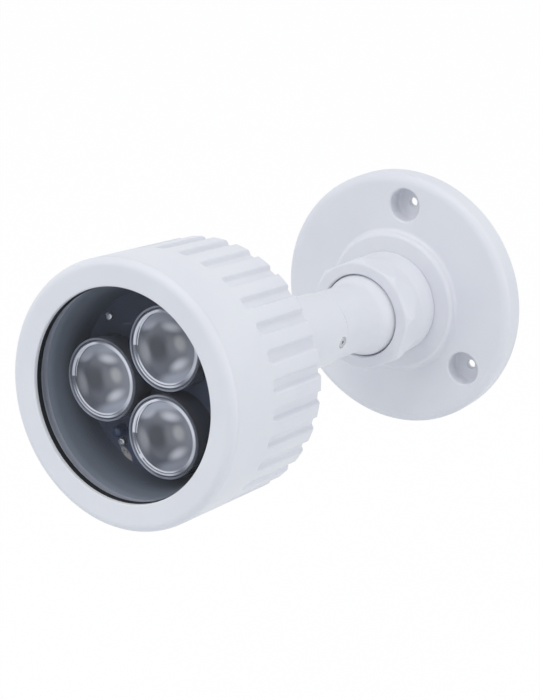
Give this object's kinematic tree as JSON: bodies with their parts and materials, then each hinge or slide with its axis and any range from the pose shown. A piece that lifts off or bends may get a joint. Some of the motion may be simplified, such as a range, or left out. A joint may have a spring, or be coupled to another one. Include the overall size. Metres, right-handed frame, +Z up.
{
  "type": "infrared illuminator",
  "caption": "Round infrared lamp head with a grooved one-piece housing and lenses behind a flat window, on a short arm that a ball joint with a locking collar holds to a round wall plate.",
  "frame": {"origin": "centre of the wall plate's back face", "axes": "+Y into the wall, square to the plate; the head points towards -Y; +Z up; +X to the right as seen from in front of the lamp"},
  "size_m": [0.0696, 0.1274, 0.073],
  "materials": {
    "white_paint": "smooth semi-gloss white paint on cast aluminium",
    "seat_plastic": "moulded",
    "steel": "dull zinc",
    "bright_screw": "bright nickel",
    "black_rubber": "matt",
    "window_glass": "clear",
    "dark_liner": "satin, dark",
    "dark_board": "dark solder mask",
    "holder_plastic": "smoky, slightly clear",
    "lens_clear": "clear moulded",
    "emitter": "clear dome on a pale base",
    "sensor_plastic": "dark blue",
    "bare_aluminium": "as machined",
    "green_board": "green solder mask",
    "ferrite": "dark ferrite",
    "connector_plastic": "pale moulded",
    "chip_plastic": "black moulded"
  },
  "bodies": {
    "base": {"base_plate": "white_paint"},
    "collar": {"locking_collar": "white_paint"},
    "seat": {"ball_seat": "seat_plastic"},
    "ball": {"ball_stud": "white_paint"},
    "head": {"arm": "white_paint", "arm_set_screw": "steel", "arm_seal": "black_rubber", "arm_nut": "steel", "rear_cover": "white_paint", "rear_cover_seal": "black_rubber", "cable_grommet": "black_rubber", "housing": "white_paint", "window_gasket": "black_rubber", "front_window": "window_glass", "inner_liner": "dark_liner", "led_board": "dark_board", "board_screws": "bright_screw", "light_sensor": "sensor_plastic", "heat_sink": "bare_aluminium", "driver_board": "green_board", "driver_board_screws": "steel", "inductor": "ferrite", "capacitor": "bare_aluminium", "wire_connector": "connector_plastic", "driver_chip": "chip_plastic", "led_emitter_1": "emitter", "lens_holder_1": "holder_plastic", "lens_1": "lens_clear", "led_emitter_2": "emitter", "lens_holder_2": "holder_plastic", "lens_2": "lens_clear", "led_emitter_3": "emitter", "lens_holder_3": "holder_plastic", "lens_3": "lens_clear"}
  },
  "joints": [
    {"name": "collar_turn", "type": "hinge", "parent": "base", "child": "collar", "pos_m": [0, 0, 0], "axis": [0, -1, 0], "range_deg": [0, 180]},
    {"name": "swivel", "type": "hinge", "parent": "base", "child": "seat", "pos_m": [0, -0.0206, 0], "axis": [0, -1, 0], "continuous": true},
    {"name": "tilt", "type": "hinge", "parent": "seat", "child": "ball", "pos_m": [0, -0.0206, 0], "axis": [-0.9511, 0, 0.309], "range_deg": [-24.7, 15.3]},
    {"name": "arm_roll", "type": "hinge", "parent": "ball", "child": "head", "pos_m": [0, -0.0206, 0], "axis": [0.0253, -0.9966, 0.0779], "continuous": true}
  ]
}
